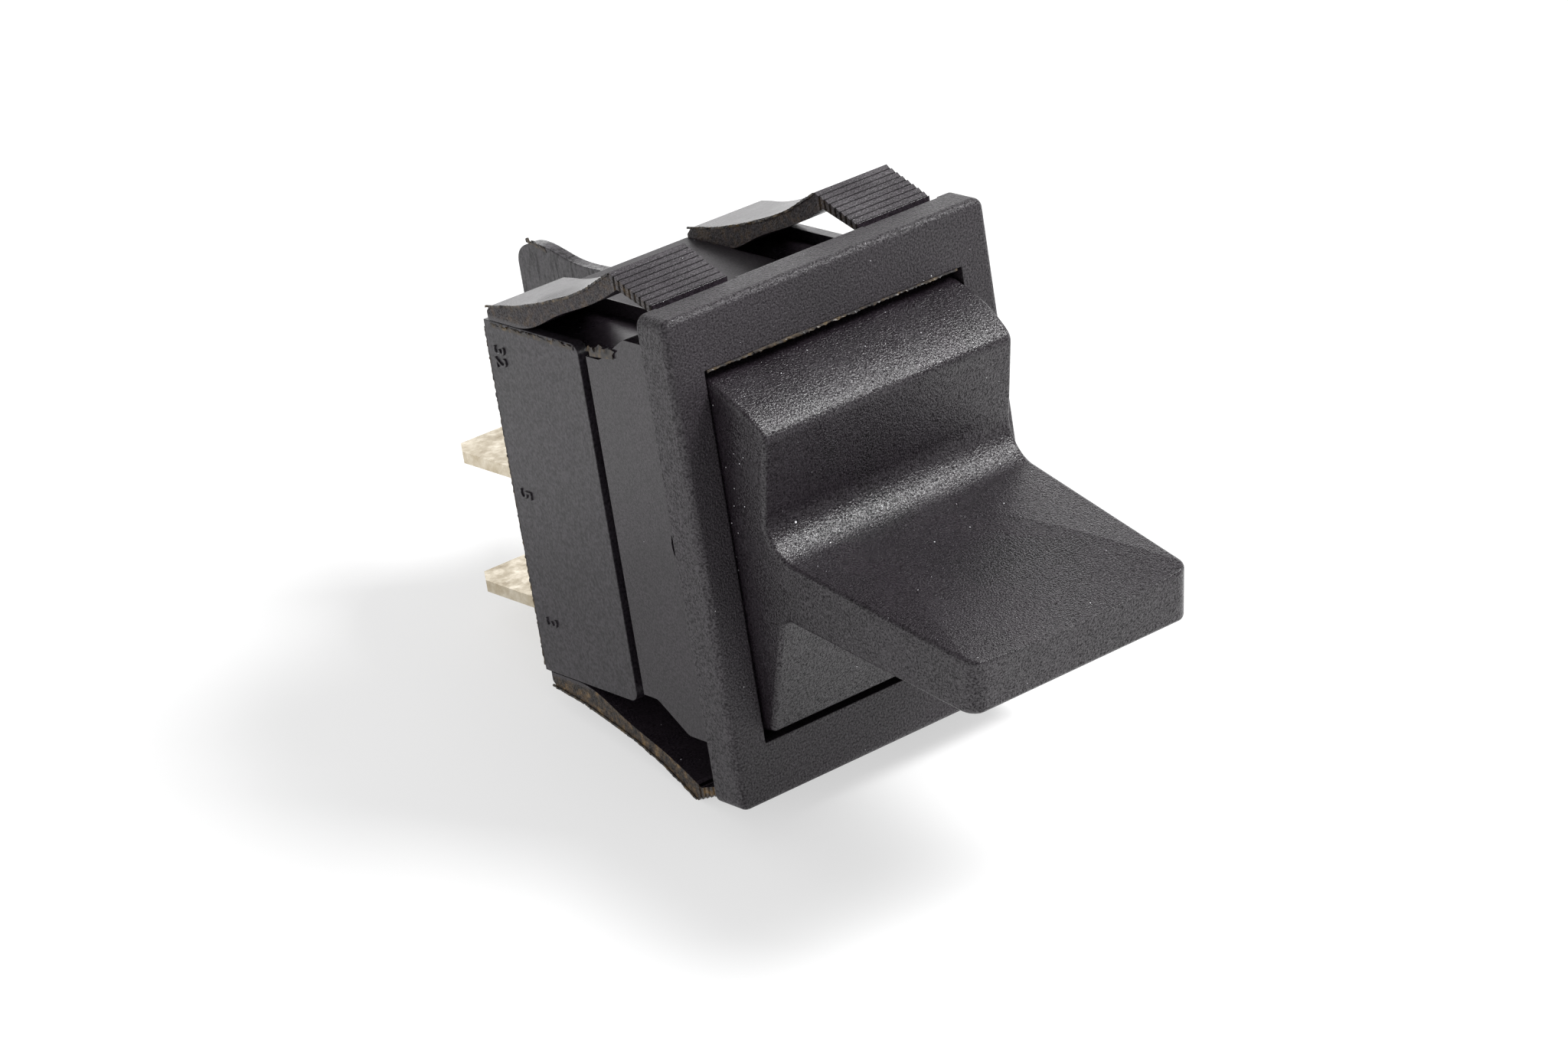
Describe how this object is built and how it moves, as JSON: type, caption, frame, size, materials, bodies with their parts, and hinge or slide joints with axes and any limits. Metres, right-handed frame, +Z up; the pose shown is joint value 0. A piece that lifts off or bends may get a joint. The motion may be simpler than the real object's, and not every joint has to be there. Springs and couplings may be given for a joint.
{
  "type": "pulse switch",
  "caption": "Snap-in momentary rocker switch: black bezel, long push paddle, springy panel wings, and flat tinned blade terminals either side of a rear barrier.",
  "frame": {"origin": "centre of the panel cut-out, on the plane where the flange's back meets the panel", "axes": "+Y from the front to the rear, into the panel; +Z up along the bezel's long side; +X to the right seen from the front"},
  "size_m": [0.0252, 0.0522, 0.0348],
  "materials": {
    "housing_plastic": "spark-eroded matte, smoother on the sides",
    "base_plastic": "smooth satin",
    "rocker_plastic": "fine spark-eroded matte",
    "plunger_plastic": "natural satin",
    "spring_steel": "bright wire",
    "lever_brass": "rolled strip",
    "silver": "silver rivet",
    "tinned_brass": "dull tin plate"
  },
  "bodies": {
    "housing": {"bezel_housing": "housing_plastic", "terminal_base": "base_plastic", "left_common_terminal": "tinned_brass", "right_common_terminal": "tinned_brass", "left_switched_terminal": "tinned_brass", "right_switched_terminal": "tinned_brass", "left_fixed_contact": "silver", "right_fixed_contact": "silver", "return_spring": "spring_steel"},
    "rocker": {"paddle_rocker": "rocker_plastic", "left_plunger_spring": "spring_steel", "right_plunger_spring": "spring_steel"},
    "left_plunger": {"left_plunger": "plunger_plastic"},
    "right_plunger": {"right_plunger": "plunger_plastic"},
    "left_lever": {"left_contact_lever": "lever_brass", "left_lever_contact": "silver"},
    "right_lever": {"right_contact_lever": "lever_brass", "right_lever_contact": "silver"}
  },
  "joints": [
    {"name": "rocker_tilt", "type": "hinge", "parent": "housing", "child": "rocker", "pos_m": [0, 0.00135, 0], "axis": [-1, 0, 0], "range_deg": [0, 22], "stiffness_Nm_per_rad": 0.15, "springref_deg": -17.19, "deforming": ["return_spring"]},
    {"name": "left_plunger_slide", "type": "slide", "parent": "rocker", "child": "left_plunger", "axis": [0, -0.9816, -0.1908], "range_m": [0, 0.0006], "stiffness_N_per_m": 500, "springref_m": -0.003, "deforming": ["left_plunger_spring"]},
    {"name": "right_plunger_slide", "type": "slide", "parent": "rocker", "child": "right_plunger", "axis": [0, -0.9816, -0.1908], "range_m": [0, 0.0006], "stiffness_N_per_m": 500, "springref_m": -0.003, "deforming": ["right_plunger_spring"]},
    {"name": "left_lever_rock", "type": "hinge", "parent": "housing", "child": "left_lever", "pos_m": [0, 0.0104, 0], "axis": [1, 0, 0], "range_deg": [0, 18]},
    {"name": "right_lever_rock", "type": "hinge", "parent": "housing", "child": "right_lever", "pos_m": [0, 0.0104, 0], "axis": [1, 0, 0], "range_deg": [0, 18]}
  ],
  "couplings": [
    {"joint": "left_lever_rock", "follows": "rocker_tilt", "ratio": 0.81818},
    {"joint": "right_lever_rock", "follows": "rocker_tilt", "ratio": 0.81818}
  ]
}
